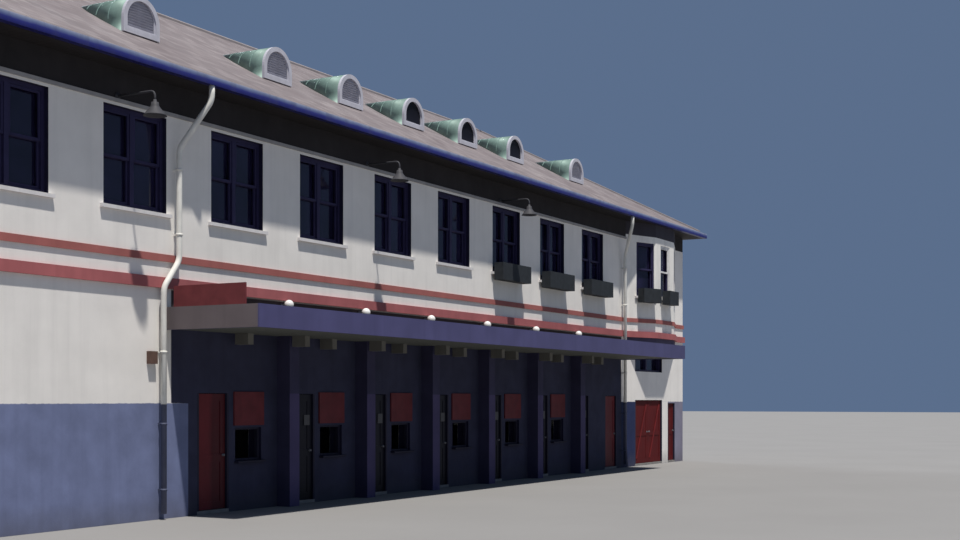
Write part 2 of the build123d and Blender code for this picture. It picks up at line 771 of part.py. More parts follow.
def frieze_moulding():
    """Strip along the front between the left corner and the canted bay."""
    top = FRIEZE_BOTTOM + FRIEZE_HEIGHT
    return block(-HALF_LENGTH, BAY_START, FRONT - FRIEZE_PROJECTION, FRONT, FRIEZE_BOTTOM, top)


def cap(start, end):
    """Cap along a ridge or hip from one point to another, its foot following the slopes."""
    run = Vector(*end) - Vector(*start)
    along = Vector(run.X, run.Y, 0)
    level = Plane(origin=start, x_dir=Vector(-run.Y, run.X, 0), z_dir=along)
    half = RIDGE_CAP_WIDTH / 2
    side_slope = SLOPE if run.Y == 0 else SLOPE / 2**0.5
    drop = half * side_slope
    outline = Polyline((0, 0), (half, -drop), (half, RIDGE_CAP_RISE - drop), (0, RIDGE_CAP_RISE))
    profile = make_face(outline + mirror(outline, Plane.YZ))
    return extrude(level * profile, amount=run.length, dir=run)


def roof_caps():
    """The ridge cap, and the four hip caps that stop just short of it."""
    top = ROOF_EDGE_TOP + ROOF_RISE
    ridge_x = ROOF_EDGE_X - HALF_SPAN
    ridge = cap((-ridge_x, RIDGE_Y, top), (ridge_x, RIDGE_Y, top))
    trim_drop = HIP_CAP_TRIM * SLOPE
    hips = []
    for end in (-1, 1):
        for side, eave_y in ((1, FRONT - EAVE), (-1, BACK + EAVE)):
            foot_x = end * (ROOF_EDGE_X - HIP_CAP_TRIM)
            head_x = end * (ridge_x + HIP_CAP_TRIM)
            foot = (foot_x, eave_y + side * HIP_CAP_TRIM, ROOF_EDGE_TOP + trim_drop)
            head = (head_x, RIDGE_Y - side * HIP_CAP_TRIM, top - trim_drop)
            hips.append(cap(foot, head))
    return ridge, hips


# Walls and floors
piers, panels = ground_storey()
save("front_ground_piers", piers)
save("front_ground_panels", panels)
save("front_upper_wall", upper_front_wall())
save(
    "bay_lintel",
    block(BAY_OPENING_START, HALF_LENGTH, FRONT, FRONT + WALL, BAY_CAP_BOTTOM, WALL_TOP),
)
save("back_wall", rear_wall())
save("end_walls", [end_wall(-1), end_wall(1)])
inner_x = HALF_LENGTH - WALL
save("ground_floor", block(-inner_x, inner_x, FRONT + WALL, BACK - WALL, 0, FLOOR_THICKNESS))
save(
    "upper_floor",
    block(
        -inner_x,
        inner_x,
        FRONT + WALL,
        BACK - WALL,
        UPPER_FLOOR_TOP - UPPER_FLOOR_THICKNESS,
        UPPER_FLOOR_TOP,
    ),
)
upper_runs, upper_returns = belt(UPPER_BAND_BOTTOM, UPPER_BAND_TOP, UPPER_BAND_PROJECTION)
lower_runs, lower_returns = belt(LOWER_BAND_BOTTOM, LOWER_BAND_TOP, LOWER_BAND_PROJECTION)
save("band_runs", upper_runs + lower_runs)
save("band_returns", upper_returns + lower_returns)

# Canted bay
front_facet_wall, side_facet_walls = bay_facets()
save("bay_base", prism(bay_outline, FASCIA_TOP, UPPER_FLOOR_TOP))
save("bay_front_facet", front_facet_wall)
save("bay_side_facets", side_facet_walls)
save("bay_cap", prism(bay_outline, BAY_CAP_BOTTOM, SOFFIT_LEVEL))

# Windows
frames = []
panes = []
sills = []
for place, height, width in window_places():
    frames.append(place * window_frame(width, height, FRAME_RECESS))
    panes.append(place * window_pane(width, height, FRAME_RECESS))
    sills.append(place * window_sill(width))
for place, width in bay_window_places():
    frames.append(place * window_frame(width, BAY_HEIGHT, BAY_FRAME_RECESS, lights=1))
    panes.append(place * window_pane(width, BAY_HEIGHT, BAY_FRAME_RECESS))
transom = Pos(GATE_X + GATE_WIDTH / 2, FRONT, TRANSOM_SILL)
frames.append(transom * window_frame(GATE_WIDTH, TRANSOM_HEAD - TRANSOM_SILL, FRAME_RECESS))
panes.append(transom * window_pane(GATE_WIDTH, TRANSOM_HEAD - TRANSOM_SILL, FRAME_RECESS))
boxes = [Pos(x, FRONT, WINDOW_SILL) * window_box(BOX_WIDTH) for x in front_windows[-BOXED_WINDOWS:]]
bay_sills = [place * window_sill(width) for place, width in bay_window_places()]
bay_boxes = [place * window_box(width) for place, width in bay_window_places()[:BOXED_BAY_WINDOWS]]
save("window_frames", frames)
save("window_glass", panes)
save("window_sills", sills + bay_sills)
save("window_boxes", boxes + bay_boxes)

# Canopy and what hangs at it
save("canopy_deck", canopy_deck())
save("canopy_front_fascia", canopy_front_fascia())
save("canopy_end_fascias", canopy_end_fascias())
save("canopy_posts", canopy_posts())
save("canopy_brackets", canopy_brackets())
save("wall_lamps", [wall_lamp(x) for x in posts])
save("ticket_boards", [ticket_board(x) for x in tickets])
save("sign_board", sign_board())
save("meter_box", meter_box())

# Roof
front_slope, back_slope, hips = roof()
save("wall_plates", wall_plates())
save("roof_front_slope", front_slope)
save("roof_back_slope", back_slope)
save("roof_hips", hips)
ridge_cap, hip_caps = roof_caps()
save("ridge_cap", ridge_cap)
save("hip_caps", hip_caps)
save("long_soffits", long_strips(EAVE, EAVE, SOFFIT_LEVEL, ROOF_UNDERSIDE))
save("end_soffits", end_strips(EAVE, EAVE, SOFFIT_LEVEL, ROOF_UNDERSIDE))
gutter_reach = EAVE + GUTTER_WIDTH
gutter_top = SOFFIT_LEVEL + GUTTER_HEIGHT
save("long_gutters", long_strips(gutter_reach, GUTTER_WIDTH, SOFFIT_LEVEL, gutter_top))
save("end_gutters", end_strips(gutter_reach, GUTTER_WIDTH, SOFFIT_LEVEL, gutter_top))
save("frieze_moulding", frieze_moulding())
dormers = [dormer(x, side) for side in (1, -1) for x in dormer_centres()]
save("dormer_bodies", [body for body, _ in dormers])
save("dormer_rims", [rim for _, rim in dormers])
save("downspouts", downspouts())
save("floodlights", [floodlight(x) for x in FLOOD_PLACES])

# Doors
save("thresholds", thresholds)
save("door_jambs", jambs)
save("door_hinges", hinges)
for name, leaf in leaves.items():
    save(name, leaf)
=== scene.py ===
"""Dresses the stadium front building: paint, glass, sashes, roofing, dormers and fittings."""
import math

import bmesh
import bpy
from mathutils import Matrix, Vector


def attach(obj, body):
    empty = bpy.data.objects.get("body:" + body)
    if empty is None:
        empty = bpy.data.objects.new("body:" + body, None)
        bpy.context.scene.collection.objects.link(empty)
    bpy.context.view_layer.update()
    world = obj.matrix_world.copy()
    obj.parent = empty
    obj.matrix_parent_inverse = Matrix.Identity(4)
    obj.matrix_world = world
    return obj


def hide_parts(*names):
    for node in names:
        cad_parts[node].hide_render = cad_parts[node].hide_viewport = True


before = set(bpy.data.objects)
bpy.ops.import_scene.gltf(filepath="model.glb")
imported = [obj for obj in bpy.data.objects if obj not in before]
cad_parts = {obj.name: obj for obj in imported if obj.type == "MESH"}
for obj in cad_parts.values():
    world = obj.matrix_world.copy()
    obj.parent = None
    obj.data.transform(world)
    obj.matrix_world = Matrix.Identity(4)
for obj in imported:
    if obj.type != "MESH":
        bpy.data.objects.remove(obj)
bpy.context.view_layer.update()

# Sizes shared with the solids, in metres: walls, posts and doors
FRONT = -4.295
DEPTH = 10.0
BACK = FRONT + DEPTH
MIDDLE = FRONT + DEPTH / 2
HALF = 15.0
WALL = 0.30
PITCH = 2.6
POSTS = [-2.5 * PITCH + i * PITCH for i in range(6)]
POST_DEPTH = 0.30
DOOR_OFFSET, DOOR_WIDTH, DOOR_HEAD = 0.20, 0.85, 2.12
LEFT_DOOR_X, RIGHT_DOOR_X = -8.90, 8.65
LEAF_RECESS = 0.04
JAMB, CLEARANCE = 0.05, 0.01
GATE_X, GATE_WIDTH, GATE_HEAD = 10.92, 2.23, 2.0
GATE_LEAF = (GATE_WIDTH - 2 * JAMB - 3 * CLEARANCE) / 2
GATE_LEFT = GATE_X + JAMB + CLEARANCE
GATE_RIGHT = GATE_LEFT + GATE_LEAF + CLEARANCE
SIDE_DOOR_X, SIDE_DOOR_WIDTH = 13.65, 0.62
TICKETS = [post - PITCH + 1.6 for post in POSTS]
TICKET_HALF, TICKET_SILL, TICKET_HEAD = 0.375, 0.90, 1.50

# Windows
SILL, HEAD = 5.13, 6.75
GROUND_SILL, GROUND_HEAD = 1.0, 2.4
WINDOW = 1.46
WINDOW_RECESS, BAY_RECESS = 0.09, 0.02
FRAME_FACE, MULLION = 0.06, 0.09
FRONT_WINDOWS = [-5 * PITCH + i * PITCH for i in range(9)]
REAR_WINDOWS = [(i - 5) * PITCH for i in range(11)]
END_WINDOWS = [MIDDLE + (i - 1) * 3.0 for i in range(3)]
BOX_WIDTH, BOXED_WINDOWS, BOXED_BAY_WINDOWS = 1.5, 3, 2

# Canopy, belt courses and canted bay
CANOPY_HALF, CANOPY_REACH = 9.75, 2.03
LOWER_BAND_BOTTOM, LOWER_BAND_TOP, UPPER_BAND_BOTTOM = 3.88, 4.06, 4.33
BAY_START, BAY_RUN, BAY_FRONT, BAY_DEPTH = 10.2, 1.3, 1.5, 0.45
BAY = [
    (BAY_START, FRONT),
    (BAY_START + BAY_RUN, FRONT - BAY_DEPTH),
    (BAY_START + BAY_RUN + BAY_FRONT, FRONT - BAY_DEPTH),
    (BAY_START + 2 * BAY_RUN + BAY_FRONT, FRONT),
]
BAY_TURN = math.atan2(BAY_DEPTH, BAY_RUN)
BAY_SIDE = math.hypot(BAY_DEPTH, BAY_RUN)

# Eaves, roof and dormers
FRIEZE, SOFFIT, EDGE_TOP = 6.86, 7.34, 7.52
EAVE = 0.5
SLOPE = 2.99 / (DEPTH / 2 + EAVE)
DORMERS = [-9.1, -5.2, -2.6, 0.0, 2.6, 5.2, 9.1]
OPEN_DORMERS = (3, 4, 5)
DORMER_SETBACK, DORMER_WIDTH, DORMER_WALL = 1.14, 0.90, 0.25
DORMER_RIM, RIM_THICKNESS = 0.09, 0.06

# Fittings
LAMP_LEVEL, LAMP_REACH, LAMP_RADIUS = 3.8, 0.17, 0.09
FLOODS = (-10.82, -3.61, 2.27)
FLOOD_LEVEL, FLOOD_REACH, FLOOD_FOOT = 6.90, 0.80, 6.50
PIPE_X, PIPE_JOG, PIPE_STANDOFF, PIPE_RADIUS = 9.87, 0.38, 0.12, 0.05

# Where paints change: plinth, the dark front under the canopy (part dark paint, part painted shade) and
# the darker strip at its top
PLINTH = 1.945
COVER_LEFT, COVER_STEP = -9.56, 0.43
COVER_TOP, STRIP_FOOT = 3.87, 3.35


# Materials
class Shader:
    """A node material being put together, with its coordinates in the row frame."""

    def __init__(self, name, roughness=0.6, metallic=0.0, shine=0.2):
        self.mat = bpy.data.materials.new(name)
        self.mat.use_nodes = True
        self.nt = self.mat.node_tree
        self.bsdf = self.nt.nodes["Principled BSDF"]
        self.bsdf.inputs["Roughness"].default_value = roughness
        self.bsdf.inputs["Metallic"].default_value = metallic
        self.bsdf.inputs["Specular IOR Level"].default_value = shine
        self.obj = self.nt.nodes.new("ShaderNodeTexCoord").outputs["Object"]
        split = self.nt.nodes.new("ShaderNodeSeparateXYZ")
        self.nt.links.new(self.obj, split.inputs[0])
        self.x, self.y, self.z = split.outputs

    def link(self, a, b):
        self.nt.links.new(a, b)

    def _put(self, socket, value):
        if isinstance(value, bpy.types.NodeSocket):
            self.link(value, socket)
        else:
            socket.default_value = value

    def math(self, op, a, b=0.0):
        n = self.nt.nodes.new("ShaderNodeMath")
        n.operation = op
        self._put(n.inputs[0], a)
        self._put(n.inputs[1], b)
        return n.outputs[0]

    def stretch(self, sx, sy, sz):
        n = self.nt.nodes.new("ShaderNodeMapping")
        n.inputs["Scale"].default_value = (sx, sy, sz)
        self.link(self.obj, n.inputs["Vector"])
        return n.outputs[0]

    def noise(self, scale, detail=4.0, rough=0.55, vec=None):
        n = self.nt.nodes.new("ShaderNodeTexNoise")
        n.inputs["Scale"].default_value = scale
        n.inputs["Detail"].default_value = detail
        n.inputs["Roughness"].default_value = rough
        self.link(vec or self.obj, n.inputs["Vector"])
        return n.outputs["Fac"]

    def ramp(self, fac, *stops):
        n = self.nt.nodes.new("ShaderNodeValToRGB")
        e = n.color_ramp.elements
        while len(e) < len(stops):
            e.new(0.5)
        for i, (pos, col) in enumerate(stops):
            e[i].position = pos
            e[i].color = (*col, 1.0)
        self.link(fac, n.inputs[0])
        return n.outputs["Color"]

    def above(self, value, edge, soft=0.02):
        """0 below the edge and 1 above it."""
        n = self.nt.nodes.new("ShaderNodeMapRange")
        n.inputs["From Min"].default_value = edge - soft
        n.inputs["From Max"].default_value = edge + soft
        self.link(value, n.inputs["Value"])
        return n.outputs["Result"]

    def below(self, value, edge, soft=0.02):
        """1 below the edge and 0 above it."""
        return self.math("SUBTRACT", 1.0, self.above(value, edge, soft))

    def both(self, a, b):
        return self.math("MULTIPLY", a, b)

    def mix(self, fac, a, b, mode="MIX"):
        n = self.nt.nodes.new("ShaderNodeMix")
        n.data_type = "RGBA"
        n.blend_type = mode
        self._put(n.inputs["Factor"], fac)
        for socket, value in ((n.inputs[6], a), (n.inputs[7], b)):
            if isinstance(value, tuple):
                value = (*value, 1.0)
            self._put(socket, value)
        return n.outputs[2]

    def color(self, value):
        self.link(value, self.bsdf.inputs["Base Color"])
        return self

    def rough(self, fac, low, high):
        n = self.nt.nodes.new("ShaderNodeMapRange")
        n.inputs["To Min"].default_value = low
        n.inputs["To Max"].default_value = high
        self.link(fac, n.inputs["Value"])
        self.link(n.outputs["Result"], self.bsdf.inputs["Roughness"])
        return self

    def bump(self, height, strength=0.3, distance=0.01):
        n = self.nt.nodes.new("ShaderNodeBump")
        n.inputs["Strength"].default_value = strength
        n.inputs["Distance"].default_value = distance
        self.link(height, n.inputs["Height"])
        self.link(n.outputs[0], self.bsdf.inputs["Normal"])
        return self


def times(color, factor):
    return tuple(min(1.0, c * factor) for c in color)


def weathered(s, base, spread=0.12, scale=3.0, streaks=0.35):
    """A paint colour with mottling and rain streaks."""
    body = s.ramp(s.noise(scale), (0.3, times(base, 1 - spread)), (0.7, times(base, 1 + spread * 0.6)))
    rain = s.noise(2.0, 5.0, 0.6, s.stretch(2.2, 2.2, 0.12))
    return s.mix(s.both(s.above(rain, 0.58, 0.10), streaks), body, times(base, 0.72))


def wall_paint():
    """Plaster: white over a blue-gray plinth, a dark front under the canopy and a dark frieze, both part
    dark paint and part painted shade, and painted shade in the reveals.
    """
    s = Shader("wall_paint", 0.85)
    white = weathered(s, (0.84, 0.81, 0.77), 0.06, 1.4, 0.22)
    plinth = weathered(s, (0.17, 0.20, 0.34), 0.16, 2.5, 0.35)
    # part dark paint, part painted shade: the covered front under the canopy is painted darker to stand
    # for the canopy's shade
    shade = weathered(s, (0.040, 0.042, 0.078), 0.2, 2.0, 0.4)
    deep = weathered(s, (0.020, 0.030, 0.088), 0.15, 2.0, 0.3)
    lilac = weathered(s, (0.23, 0.22, 0.29), 0.12, 2.0, 0.3)
    # part dark paint, part painted shade: the frieze under the eave is near black for the eave's shadow
    frieze_and_painted_shade = weathered(s, (0.032, 0.029, 0.031), 0.2, 2.0, 0.3)
    # painted shade: the reveals of windows and doors are dark navy for the shade in these recesses
    trim = weathered(s, (0.018, 0.016, 0.045), 0.2, 6.0, 0.2)
    plaster = weathered(s, (0.46, 0.45, 0.43), 0.1, 2.0, 0.1)
    # part dark paint, part painted shade: a darker brown strip at the top of the covered front
    strip_above_deck = weathered(s, (0.070, 0.050, 0.052), 0.2, 2.0, 0.3)

    wavy = s.math("ADD", s.z, s.both(s.noise(9.0), 0.03))
    low = s.below(wavy, PLINTH + 0.015, 0.006)
    street = s.below(s.y, FRONT + 0.05, 0.01)
    cover_right = CANOPY_HALF + 0.1
    right_side = s.both(street, s.above(s.x, cover_right, 0.01))
    col = s.mix(low, white, plinth)
    col = s.mix(s.both(s.both(right_side, low), s.below(s.x, GATE_X, 0.01)), col, deep)
    beyond = s.both(right_side, s.above(s.x, GATE_X + GATE_WIDTH, 0.01))
    col = s.mix(s.both(beyond, low), col, lilac)
    col = s.mix(s.both(s.both(beyond, low), s.below(s.x, SIDE_DOOR_X, 0.01)), col, white)
    left_edge = s.math("ADD", s.both(low, COVER_STEP), COVER_LEFT)
    covered = s.both(
        s.above(s.math("SUBTRACT", s.x, left_edge), 0.0, 0.01), s.below(s.x, cover_right, 0.01)
    )
    # the covered front, dark as part paint and part painted shade
    under = s.both(s.both(covered, s.below(s.z, COVER_TOP, 0.02)), street)
    col = s.mix(under, col, s.mix(s.above(s.z, STRIP_FOOT), shade, strip_above_deck))
    grime = s.math("ADD", s.z, s.both(s.noise(3.0), 0.3))
    col = s.mix(s.both(s.below(grime, 0.35, 0.25), 0.45), col, (0.08, 0.075, 0.075))
    # frieze under the eave: part dark paint, part painted shade
    col = s.mix(s.above(s.z, FRIEZE, 0.004), col, frieze_and_painted_shade)
    across = s.math("ABSOLUTE", s.math("SUBTRACT", s.y, MIDDLE))
    along = s.math("ABSOLUTE", s.x)

    def inside(cover):
        """1 further than cover behind the outer faces of the walls."""
        return s.both(s.below(along, HALF - cover, 0.002), s.below(across, DEPTH / 2 - cover, 0.002))

    # painted shade in the reveals, just behind the outer faces of the walls
    col = s.mix(inside(0.006), col, trim)
    col = s.mix(inside(WALL - 0.005), col, plaster)
    s.color(col)
    fine = s.math("ADD", s.noise(60.0, 3.0), s.both(s.noise(4.0), 1.5))
    return s.rough(s.noise(5.0), 0.75, 0.95).bump(fine, 0.25, 0.006).mat


def paint(name, base, roughness=0.6, spread=0.12, scale=3.0, streaks=0.35, metallic=0.0, bump=0.12):
    s = Shader(name, roughness, metallic)
    s.color(weathered(s, base, spread, scale, streaks))
    s.rough(s.noise(scale * 2), roughness - 0.1, min(1.0, roughness + 0.12))
    return s.bump(s.noise(scale * 12), bump, 0.003).mat


def two_paints(name, base, other, mask, roughness=0.6, scale=3.0):
    """One paint where the mask is 0 and another where it is 1; mask is made from the shader."""
    s = Shader(name, roughness)
    s.color(s.mix(mask(s), weathered(s, base, 0.15, scale), weathered(s, other, 0.15, scale)))
    return s.rough(s.noise(6.0), roughness - 0.1, roughness + 0.12).bump(s.noise(30.0), 0.12, 0.002).mat


def boards(name, base, axis="x", width=0.14, roughness=0.7, spread=0.18, depth=0.006):
    """Painted boards: a groove every width along one axis."""
    s = Shader(name, roughness)
    coord = {"x": s.x, "y": s.y, "z": s.z}[axis]
    phase = s.math("FRACT", s.math("DIVIDE", coord, width))
    face = s.below(s.math("ABSOLUTE", s.math("SUBTRACT", phase, 0.5)), 0.47, 0.015)
    run = {"x": (30, 3, 1.0), "y": (3, 30, 1.0), "z": (1.0, 1.0, 30)}[axis]
    grain = s.noise(1.0, 5.0, 0.6, s.stretch(*run))
    col = s.ramp(grain, (0.3, times(base, 1 - spread)), (0.7, times(base, 1 + spread)))
    s.color(s.mix(face, times(base, 0.35), col))
    height = s.math("ADD", face, s.both(grain, 0.15))
    return s.rough(grain, roughness - 0.1, roughness + 0.15).bump(height, 0.5, depth).mat


def roofing(name, along, up, height=0.22, width=0.30):
    """Weathered roof covering in rows up the slope, staggered along it."""
    s = Shader(name, 0.85)
    a = {"x": s.x, "y": s.y}[along]
    u = {"x": s.x, "y": s.y}[up]
    row = s.math("DIVIDE", s.math("ABSOLUTE", u), height)
    rise = s.math("FRACT", row)
    whole = s.math("FLOOR", row)
    shift = s.both(s.math("MODULO", whole, 2.0), 0.5)
    tile = s.math("ADD", s.math("DIVIDE", a, width), shift)
    phase = s.math("FRACT", s.math("ADD", tile, 80.0))
    joint = s.above(s.math("ABSOLUTE", s.math("SUBTRACT", phase, 0.5)), 0.47, 0.02)
    place = s.nt.nodes.new("ShaderNodeCombineXYZ")
    s.link(s.math("FLOOR", tile), place.inputs[0])
    s.link(whole, place.inputs[1])
    chance = s.nt.nodes.new("ShaderNodeTexWhiteNoise")
    chance.noise_dimensions = "2D"
    s.link(place.outputs[0], chance.inputs["Vector"])
    each = s.ramp(
        chance.outputs["Value"],
        (0.0, (0.200, 0.178, 0.185)),
        (0.6, (0.240, 0.215, 0.222)),
        (1.0, (0.275, 0.250, 0.255)),
    )
    patch = s.ramp(s.noise(0.7, 5.0), (0.35, (0.80, 0.76, 0.76)), (0.65, (1.0, 0.98, 0.97)))
    col = s.mix(1.0, each, patch, "MULTIPLY")
    edge = s.below(rise, 0.10, 0.05)
    col = s.mix(s.both(s.math("MAXIMUM", joint, edge), 0.35), col, (0.12, 0.11, 0.115))
    run = s.stretch(3.0, 0.3, 0.3) if along == "x" else s.stretch(0.3, 3.0, 0.3)
    streak = s.noise(1.0, 4.0, 0.6, run)
    col = s.mix(s.both(s.above(streak, 0.6, 0.1), 0.25), col, (0.18, 0.17, 0.18))
    s.color(col)
    relief = s.math("SUBTRACT", s.both(rise, -0.8), s.both(joint, 0.5))
    return s.rough(s.noise(8.0), 0.78, 0.95).bump(relief, 0.6, 0.012).mat


def gutter_with_painted_reflection():
    """Dark blue sheet with a painted sky reflection, pale toward its upper edge."""
    s = Shader("gutter_blue_painted_reflection", 0.4)
    level = s.math("ADD", s.z, s.both(s.noise(4.0), 0.03))
    n = s.nt.nodes.new("ShaderNodeMapRange")
    n.inputs["From Min"].default_value = SOFFIT
    n.inputs["From Max"].default_value = SOFFIT + 0.16
    s.link(level, n.inputs["Value"])
    # painted reflection: the sheet turns pale toward its upper edge
    col = s.ramp(
        n.outputs["Result"],
        (0.0, (0.010, 0.010, 0.085)),
        (0.5, (0.030, 0.035, 0.200)),
        (0.8, (0.160, 0.200, 0.360)),
        (1.0, (0.330, 0.370, 0.500)),
    )
    rain = s.noise(2.0, 5.0, 0.6, s.stretch(2.2, 2.2, 0.12))
    s.color(s.mix(s.both(s.above(rain, 0.58, 0.1), 0.3), col, (0.06, 0.06, 0.12)))
    return s.rough(s.noise(6.0), 0.3, 0.5).bump(s.noise(20.0), 0.1, 0.002).mat


def glass():
    s = Shader("window_glass", 0.05, shine=0.5)
    s.color(s.ramp(s.noise(0.9, 2.0), (0.35, (0.007, 0.006, 0.020)), (0.65, (0.020, 0.017, 0.052))))
    s.bsdf.inputs["Alpha"].default_value = 0.88
    return s.rough(s.noise(2.0), 0.04, 0.12).bump(s.noise(1.5, 2.0), 0.08, 0.004).mat


def lamp_glass():
    s = Shader("lamp_globe_glass", 0.25, shine=0.5)
    s.bsdf.inputs["Coat Weight"].default_value = 0.4
    s.color(s.ramp(s.noise(6.0), (0.3, (0.84, 0.83, 0.80)), (0.7, (0.93, 0.92, 0.90))))
    return s.mat


# Every material by a short key
M = {
    "wall": wall_paint(),
    "bay_base": two_paints(
        "bay_base_paint",
        (0.075, 0.065, 0.115),
        (0.84, 0.82, 0.78),
        lambda s: s.above(s.z, LOWER_BAND_TOP - 0.005, 0.002),
        0.75,
    ),
    "bay_cap": paint("bay_cap_paint", (0.045, 0.042, 0.055), 0.7),
    "bay_wall": paint("bay_wall_paint", (0.84, 0.82, 0.78), 0.8, 0.06),
    "band": two_paints(
        "belt_course_paint",
        (0.40, 0.125, 0.130),
        (0.38, 0.130, 0.118),
        lambda s: s.above(s.z, (LOWER_BAND_TOP + UPPER_BAND_BOTTOM) / 2),
        0.7,
        1.5,
    ),
    "post": two_paints(
        "post_paint_with_painted_light",
        (0.042, 0.040, 0.085),
        (0.072, 0.060, 0.140),
        # painted light: the front faces below the door heads are lighter, as lit from the street
        lambda s: s.both(s.below(s.z, DOOR_HEAD, 0.01), s.below(s.y, FRONT - POST_DEPTH + 0.005, 0.002)),
        0.75,
        2.0,
    ),
    "concrete": paint("concrete", (0.24, 0.23, 0.22), 0.9, 0.2, 6.0, 0.2, bump=0.4),
    "roof_long": roofing("roofing_long_slopes", "x", "y"),
    "roof_hip": roofing("roofing_hips", "y", "x"),
    "cap": paint("ridge_cap_cement", (0.27, 0.245, 0.25), 0.85, 0.15, 4.0, 0.3, bump=0.4),
    "green": paint("dormer_green_sheet", (0.20, 0.30, 0.265), 0.5, 0.2, 5.0, 0.5, 0.1),
    "rim": paint("dormer_rim_paint", (0.54, 0.54, 0.60), 0.6, 0.1, 6.0, 0.3),
    "slat": paint("dormer_louvre_paint", (0.40, 0.40, 0.46), 0.6, 0.1, 6.0, 0.3),
    "panel": paint("dormer_panel_paint", (0.38, 0.38, 0.44), 0.7, 0.12, 6.0, 0.3),
    "fascia": two_paints(
        "canopy_fascia_paint",
        (0.080, 0.077, 0.178),
        (0.150, 0.125, 0.130),
        lambda s: s.both(
            s.below(s.x, 0.002 - CANOPY_HALF, 0.001), s.above(s.y, FRONT - CANOPY_REACH + 0.03, 0.005)
        ),
        0.5,
        1.5,
    ),
    "gutter": gutter_with_painted_reflection(),
    "deck": boards("deck_boards", (0.120, 0.125, 0.112), "x", 0.15),
    "bracket": paint("bracket_paint", (0.16, 0.155, 0.14), 0.7),
    # part dark paint, part painted shade: the soffits are near black for the eave's shadow
    "soffit": boards("soffit_boards_painted_shade", (0.026, 0.023, 0.024), "x", 0.12),
    "soffit_end": boards("soffit_end_boards_painted_shade", (0.026, 0.023, 0.024), "y", 0.12),
    "moulding": paint("frieze_moulding_paint", (0.34, 0.33, 0.33), 0.7, 0.10, 4.0, 0.4),
    "frame": two_paints(
        "window_frame_paint",
        (0.030, 0.026, 0.075),
        (0.76, 0.75, 0.74),
        lambda s: s.both(
            s.below(s.y, FRONT - BAY_DEPTH + 0.05, 0.001), s.above(s.x, BAY[1][0] + 0.05, 0.001)
        ),
        0.55,
        5.0,
    ),
    "glass": glass(),
    "sill": paint("sill_paint", (0.70, 0.68, 0.68), 0.7, 0.08, 4.0, 0.4),
    "planter": paint("planter_paint", (0.030, 0.035, 0.041), 0.7, 0.25, 8.0, 0.5),
    "soil": paint("planter_soil", (0.050, 0.038, 0.028), 0.98, 0.4, 30.0, 0.0, bump=0.9),
    # One board over the whole height, with a darker foot; the same near black is painted shade in the
    # open dormers
    "door_dark": boards("dark_door_paint_and_painted_shade", (0.0085, 0.0085, 0.016), "z", 9.0, 0.5),
    "door_red": paint("red_door_paint", (0.145, 0.015, 0.020), 0.5, 0.18, 2.5, 0.4),
    "left_door": two_paints(
        "left_door_paint",
        (0.145, 0.015, 0.020),
        (0.078, 0.008, 0.012),
        lambda s: s.above(s.x, LEFT_DOOR_X + 0.41, 0.06),
        0.5,
        2.5,
    ),
    "gate": paint("gate_paint", (0.098, 0.0065, 0.0075), 0.75, 0.18, 2.5, 0.4),
    "brace": paint("gate_brace_paint", (0.145, 0.012, 0.014), 0.75, 0.18, 2.5, 0.4),
    "jamb": paint("jamb_paint", (0.022, 0.021, 0.042), 0.6, 0.2, 4.0, 0.3),
    "steel": paint("dull_steel", (0.22, 0.22, 0.24), 0.45, 0.2, 20.0, 0.2, 0.9),
    "downspout": two_paints(
        "downspout_paint",
        (0.085, 0.095, 0.150),
        (0.78, 0.77, 0.72),
        lambda s: s.above(s.z, PLINTH - 0.015, 0.01),
        0.55,
        4.0,
    ),
    # painted shade: the floodlight heads and arms are dark gray to stand for the eave's shadow over them
    "flood": paint("floodlight_painted_shade", (0.062, 0.062, 0.070), 0.6, 0.12, 8.0, 0.3),
    "board": paint("ticket_board_paint", (0.135, 0.024, 0.030), 0.6, 0.22, 5.0, 0.3),
    "sign": paint("sign_board_paint", (0.17, 0.038, 0.042), 0.6, 0.2, 4.0, 0.3),
    "plate": paint("door_plate_paint", (0.10, 0.10, 0.105), 0.6, 0.15, 9.0, 0.2),
    "meter": paint("meter_box_paint", (0.125, 0.075, 0.060), 0.55, 0.2, 8.0, 0.4),
    "lamp": lamp_glass(),
}

# The paint of each node that is carried over from the solids
NODE_MATERIALS = {
    "wall": [
        "front_ground_piers",
        "front_ground_panels",
        "front_upper_wall",
        "bay_lintel",
        "back_wall",
        "end_walls",
    ],
    "bay_wall": ["bay_front_facet", "bay_side_facets"],
    "bay_base": ["bay_base"],
    "bay_cap": ["bay_cap"],
    "band": ["band_runs", "band_returns"],
    "post": ["canopy_posts"],
    "concrete": ["ground_floor", "upper_floor", "thresholds"],
    "roof_long": ["roof_front_slope", "roof_back_slope"],
    "roof_hip": ["roof_hips"],
    "cap": ["ridge_cap", "hip_caps"],
    "green": ["dormer_bodies"],
    "rim": ["dormer_rims"],
    "fascia": ["canopy_front_fascia", "canopy_end_fascias"],
    "gutter": ["long_gutters", "end_gutters"],
    "deck": ["canopy_deck"],
    "bracket": ["canopy_brackets"],
    "soffit": ["long_soffits", "wall_plates"],
    "soffit_end": ["end_soffits"],
    "moulding": ["frieze_moulding"],
    "frame": ["window_frames"],
    "glass": ["window_glass"],
    "sill": ["window_sills"],
    "planter": ["window_boxes"],
    "jamb": ["door_jambs"],
    "steel": ["door_hinges"],
    "downspout": ["downspouts"],
    "lamp": ["wall_lamps"],
    "flood": ["floodlights"],
    "board": ["ticket_boards"],
    "sign": ["sign_board"],
    "meter": ["meter_box"],
    "door_dark": [f"entry_door_{number}" for number, post in enumerate(POSTS, start=1)],
    "door_red": ["right_door"],
    "left_door": ["left_door"],
    "gate": ["side_door", "gate_left_leaf", "gate_right_leaf"],
}
for key, names in NODE_MATERIALS.items():
    for name in names:
        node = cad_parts[name]
        node.data.materials.clear()
        node.data.materials.append(M[key])


